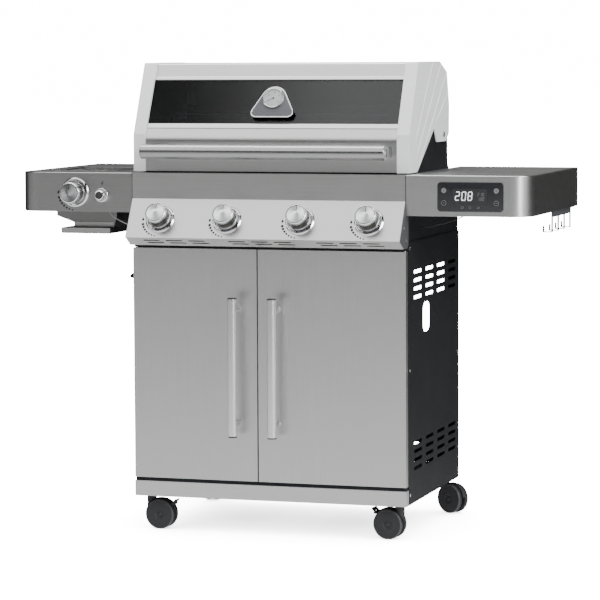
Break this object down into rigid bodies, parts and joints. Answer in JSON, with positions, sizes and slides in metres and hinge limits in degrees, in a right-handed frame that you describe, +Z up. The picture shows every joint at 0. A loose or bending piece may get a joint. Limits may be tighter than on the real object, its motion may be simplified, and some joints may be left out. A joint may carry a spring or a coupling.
{
  "type": "gas barbecue grill",
  "caption": "Freestanding gas barbecue grill on castors, with a hinged windowed lid, cooking grates, control knobs, side burner, side shelves and a cabinet with doors.",
  "frame": {"origin": "middle of the footprint's bounding box, on the floor", "axes": "+X to the right of a person facing the doors, +Y to the back, +Z up"},
  "size_m": [1.324, 0.6373, 1.173],
  "materials": {
    "stainless": "brushed stainless steel",
    "black_paint": "satin black powder coat",
    "grey_paint": "dark grey powder coat",
    "cast_aluminium": "fine-textured silver cast aluminium",
    "cast_iron": "matt enamelled cast iron",
    "inner_steel": "plain steel",
    "chrome": "polished chrome",
    "tinted_glass": "smoked heat-proof glass",
    "knob_metal": "spun metal",
    "gloss_black": "gloss black",
    "black_plastic": "moulded black plastic",
    "grey_lead": "light grey insulation",
    "black_lead": "black insulation",
    "brass": "plain brass"
  },
  "bodies": {
    "cabinet": {"side_panel_left": "black_paint", "side_panel_right": "black_paint", "frame_sides": "black_paint", "base_tray": "black_paint", "plinth_panel": "stainless", "back_panel": "black_paint", "cross_rails": "black_paint", "firebox": "black_paint", "gas_burners": "inner_steel", "flame_tamers": "inner_steel", "cooking_grates": "cast_iron", "warming_rack": "chrome", "gas_manifold": "brass", "control_panel": "stainless", "panel_end_plates": "grey_paint", "knob_bezels": "chrome", "shelf_left": "stainless", "shelf_right": "stainless", "side_burner_box": "grey_paint", "side_burner_shield": "stainless", "display_unit": "gloss_black", "tool_hooks": "grey_paint", "bottle_opener": "black_paint", "fasteners": "chrome", "igniter_lead": "grey_lead", "display_lead": "black_lead"},
    "lid": {"lid_panels": "stainless", "lid_cap_left": "cast_aluminium", "lid_cap_right": "cast_aluminium", "lid_window": "tinted_glass", "window_trims": "chrome", "temperature_gauge": "chrome", "lid_handle": "stainless"},
    "gauge_needle": {"gauge_needle": "black_plastic"},
    "door_left": {"door_left": "stainless", "door_handle_left": "stainless"},
    "door_right": {"door_right": "stainless", "door_handle_right": "stainless"},
    "igniter_button": {"igniter_button": "black_plastic"},
    "grease_tray": {"grease_tray": "inner_steel"},
    "valve_stem_1": {"valve_stem_1": "inner_steel"},
    "knob_1": {"knob_1": "knob_metal"},
    "valve_stem_2": {"valve_stem_2": "inner_steel"},
    "knob_2": {"knob_2": "knob_metal"},
    "valve_stem_3": {"valve_stem_3": "inner_steel"},
    "knob_3": {"knob_3": "knob_metal"},
    "valve_stem_4": {"valve_stem_4": "inner_steel"},
    "knob_4": {"knob_4": "knob_metal"},
    "valve_stem_side": {"valve_stem_side": "inner_steel"},
    "knob_side": {"knob_side": "knob_metal"},
    "castor_front_left": {"castor_housing_front_left": "black_plastic"},
    "wheels_front_left": {"castor_wheels_front_left": "black_plastic"},
    "brake_lever_front_left": {"brake_lever_front_left": "black_plastic"},
    "castor_front_right": {"castor_housing_front_right": "black_plastic"},
    "wheels_front_right": {"castor_wheels_front_right": "black_plastic"},
    "brake_lever_front_right": {"brake_lever_front_right": "black_plastic"},
    "castor_rear_left": {"castor_housing_rear_left": "black_plastic"},
    "wheels_rear_left": {"castor_wheels_rear_left": "black_plastic"},
    "castor_rear_right": {"castor_housing_rear_right": "black_plastic"},
    "wheels_rear_right": {"castor_wheels_rear_right": "black_plastic"}
  },
  "joints": [
    {"name": "lid_hinge", "type": "hinge", "parent": "cabinet", "child": "lid", "pos_m": [0, 0.1093, 0.989], "axis": [-1, 0, 0], "range_deg": [0, 85]},
    {"name": "gauge_needle_turn", "type": "hinge", "parent": "lid", "child": "gauge_needle", "pos_m": [0, -0.16777, 1.0777], "axis": [0, 0.8878, -0.4603], "range_deg": [0, 240], "stiffness_Nm_per_rad": 0.0005},
    {"name": "door_left_hinge", "type": "hinge", "parent": "cabinet", "child": "door_left", "pos_m": [-0.347, -0.2217, 0.424], "axis": [0, 0, -1], "range_deg": [0, 100]},
    {"name": "door_right_hinge", "type": "hinge", "parent": "cabinet", "child": "door_right", "pos_m": [0.347, -0.2217, 0.424], "axis": [0, 0, 1], "range_deg": [0, 100]},
    {"name": "igniter_push", "type": "slide", "parent": "cabinet", "child": "igniter_button", "axis": [0, 1, 0], "range_m": [0, 0.005], "stiffness_N_per_m": 800, "springref_m": -0.003},
    {"name": "grease_tray_slide", "type": "slide", "parent": "cabinet", "child": "grease_tray", "axis": [0, 1, 0], "range_m": [0, 0.3]},
    {"name": "knob_1_push", "type": "slide", "parent": "cabinet", "child": "valve_stem_1", "axis": [0, 0.875, -0.4841], "range_m": [0, 0.003], "stiffness_N_per_m": 1000, "springref_m": -0.003},
    {"name": "knob_1_turn", "type": "hinge", "parent": "valve_stem_1", "child": "knob_1", "pos_m": [-0.269, -0.26636, 0.786], "axis": [0, -0.875, 0.4841], "range_deg": [0, 180]},
    {"name": "knob_2_push", "type": "slide", "parent": "cabinet", "child": "valve_stem_2", "axis": [0, 0.875, -0.4841], "range_m": [0, 0.003], "stiffness_N_per_m": 1000, "springref_m": -0.003},
    {"name": "knob_2_turn", "type": "hinge", "parent": "valve_stem_2", "child": "knob_2", "pos_m": [-0.094, -0.26636, 0.786], "axis": [0, -0.875, 0.4841], "range_deg": [0, 180]},
    {"name": "knob_3_push", "type": "slide", "parent": "cabinet", "child": "valve_stem_3", "axis": [0, 0.875, -0.4841], "range_m": [0, 0.003], "stiffness_N_per_m": 1000, "springref_m": -0.003},
    {"name": "knob_3_turn", "type": "hinge", "parent": "valve_stem_3", "child": "knob_3", "pos_m": [0.094, -0.26636, 0.786], "axis": [0, -0.875, 0.4841], "range_deg": [0, 180]},
    {"name": "knob_4_push", "type": "slide", "parent": "cabinet", "child": "valve_stem_4", "axis": [0, 0.875, -0.4841], "range_m": [0, 0.003], "stiffness_N_per_m": 1000, "springref_m": -0.003},
    {"name": "knob_4_turn", "type": "hinge", "parent": "valve_stem_4", "child": "knob_4", "pos_m": [0.269, -0.26636, 0.786], "axis": [0, -0.875, 0.4841], "range_deg": [0, 180]},
    {"name": "knob_side_push", "type": "slide", "parent": "cabinet", "child": "valve_stem_side", "axis": [0, 1, 0], "range_m": [0, 0.003], "stiffness_N_per_m": 1000, "springref_m": -0.003},
    {"name": "knob_side_turn", "type": "hinge", "parent": "valve_stem_side", "child": "knob_side", "pos_m": [-0.506, -0.23869, 0.85], "axis": [0, -1, 0], "range_deg": [0, 180]},
    {"name": "castor_front_left_swivel", "type": "hinge", "parent": "cabinet", "child": "castor_front_left", "pos_m": [-0.325, -0.1907, 0.087], "axis": [0, 0, 1], "continuous": true},
    {"name": "castor_front_left_roll", "type": "hinge", "parent": "castor_front_left", "child": "wheels_front_left", "pos_m": [-0.29807, -0.19258, 0.038], "axis": [-0.0698, -0.9976, 0], "continuous": true},
    {"name": "brake_front_left_press", "type": "hinge", "parent": "castor_front_left", "child": "brake_lever_front_left", "pos_m": [-0.26387, -0.19497, 0.06478], "axis": [0.0698, 0.9976, 0], "range_deg": [0, 25]},
    {"name": "castor_front_right_swivel", "type": "hinge", "parent": "cabinet", "child": "castor_front_right", "pos_m": [0.325, -0.1907, 0.087], "axis": [0, 0, 1], "continuous": true},
    {"name": "castor_front_right_roll", "type": "hinge", "parent": "castor_front_right", "child": "wheels_front_right", "pos_m": [0.2983, -0.1867, 0.038], "axis": [0.1478, 0.989, 0], "continuous": true},
    {"name": "brake_front_right_press", "type": "hinge", "parent": "castor_front_right", "child": "brake_lever_front_right", "pos_m": [0.26439, -0.18164, 0.06478], "axis": [-0.1478, -0.989, 0], "range_deg": [0, 25]},
    {"name": "castor_rear_left_swivel", "type": "hinge", "parent": "cabinet", "child": "castor_rear_left", "pos_m": [-0.325, 0.25431, 0.087], "axis": [0, 0, 1], "continuous": true},
    {"name": "castor_rear_left_roll", "type": "hinge", "parent": "castor_rear_left", "child": "wheels_rear_left", "pos_m": [-0.325, 0.28131, 0.038], "axis": [1, 0, 0], "continuous": true},
    {"name": "castor_rear_right_swivel", "type": "hinge", "parent": "cabinet", "child": "castor_rear_right", "pos_m": [0.325, 0.25431, 0.087], "axis": [0, 0, 1], "continuous": true},
    {"name": "castor_rear_right_roll", "type": "hinge", "parent": "castor_rear_right", "child": "wheels_rear_right", "pos_m": [0.34918, 0.2423, 0.038], "axis": [-0.4446, -0.8957, 0], "continuous": true}
  ]
}
